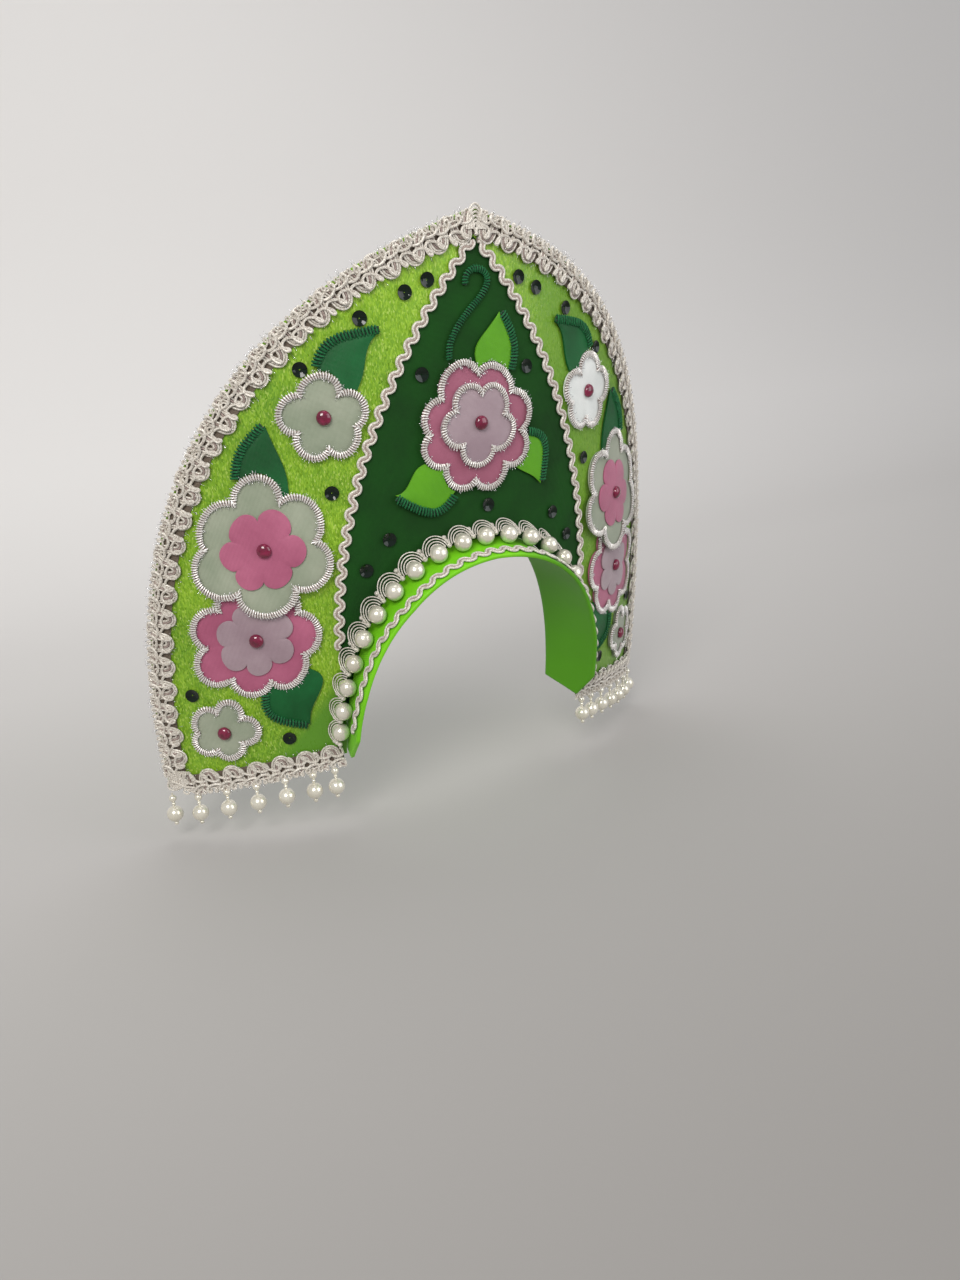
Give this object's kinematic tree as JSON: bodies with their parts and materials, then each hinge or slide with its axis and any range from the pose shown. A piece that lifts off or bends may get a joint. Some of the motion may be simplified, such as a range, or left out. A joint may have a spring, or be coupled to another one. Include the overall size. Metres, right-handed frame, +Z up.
{
  "type": "kokoshnik headdress",
  "caption": "Tall kokoshnik headdress with a pointed lime brocade shield, applique flowers, silver braid, pearl edging and hanging pearl drops",
  "frame": {"origin": "inner top of the head hoop, at the line where the hoop passes the shield's front", "axes": "+Z up as worn, -Y to the front, +X to the wearer's left, which is the viewer's right"},
  "size_m": [0.365, 0.1124, 0.3357],
  "materials": {
    "lime_brocade": "sparkling brocade",
    "lime_satin": "satin",
    "dark_green_satin": "satin",
    "dark_leaf_satin": "satin",
    "bright_leaf_satin": "satin",
    "green_chenille": "matte",
    "grey_green_satin": "satin",
    "white_satin": "satin",
    "pink_satin": "satin",
    "rose_satin": "satin",
    "lilac_satin": "satin",
    "silver_braid": "metallic thread",
    "pearl": "pearl",
    "magenta_stone": "gloss"
  },
  "bodies": {
    "root": {"left_panel": "lime_brocade", "right_panel": "lime_brocade", "centre_panel": "dark_green_satin", "hoop": "lime_satin", "hoop_braid": "silver_braid", "pearl_trim": "pearl", "left_outer_braid": "silver_braid", "right_outer_braid": "silver_braid", "left_seam_braid": "silver_braid", "right_seam_braid": "silver_braid", "left_small_top_flower": "grey_green_satin", "left_big_flower": "grey_green_satin", "left_low_flower": "pink_satin", "left_small_low_flower": "grey_green_satin", "right_small_top_flower": "white_satin", "right_big_flower": "grey_green_satin", "right_low_flower": "pink_satin", "right_small_low_flower": "grey_green_satin", "centre_flower": "rose_satin", "left_big_heart": "pink_satin", "left_low_heart": "lilac_satin", "right_big_heart": "pink_satin", "right_low_heart": "lilac_satin", "centre_heart": "lilac_satin", "left_small_top_stone": "magenta_stone", "left_big_stone": "magenta_stone", "left_low_stone": "magenta_stone", "left_small_low_stone": "magenta_stone", "right_small_top_stone": "magenta_stone", "right_big_stone": "magenta_stone", "right_low_stone": "magenta_stone", "right_small_low_stone": "magenta_stone", "centre_stone": "magenta_stone", "left_leaf_top": "dark_leaf_satin", "left_leaf_middle": "dark_leaf_satin", "left_leaf_low": "dark_leaf_satin", "right_leaf_top": "dark_leaf_satin", "right_leaf_middle": "dark_leaf_satin", "right_leaf_low": "dark_leaf_satin", "leaf_centre_top": "bright_leaf_satin", "leaf_centre_left": "bright_leaf_satin", "leaf_centre_right": "bright_leaf_satin", "stem": "green_chenille", "left_pendant_1": "pearl", "left_pendant_2": "pearl", "left_pendant_3": "pearl", "left_pendant_4": "pearl", "left_pendant_5": "pearl", "left_pendant_6": "pearl", "left_pendant_7": "pearl", "right_pendant_1": "pearl", "right_pendant_2": "pearl", "right_pendant_3": "pearl", "right_pendant_4": "pearl", "right_pendant_5": "pearl", "right_pendant_6": "pearl", "right_pendant_7": "pearl"}
  },
  "joints": []
}
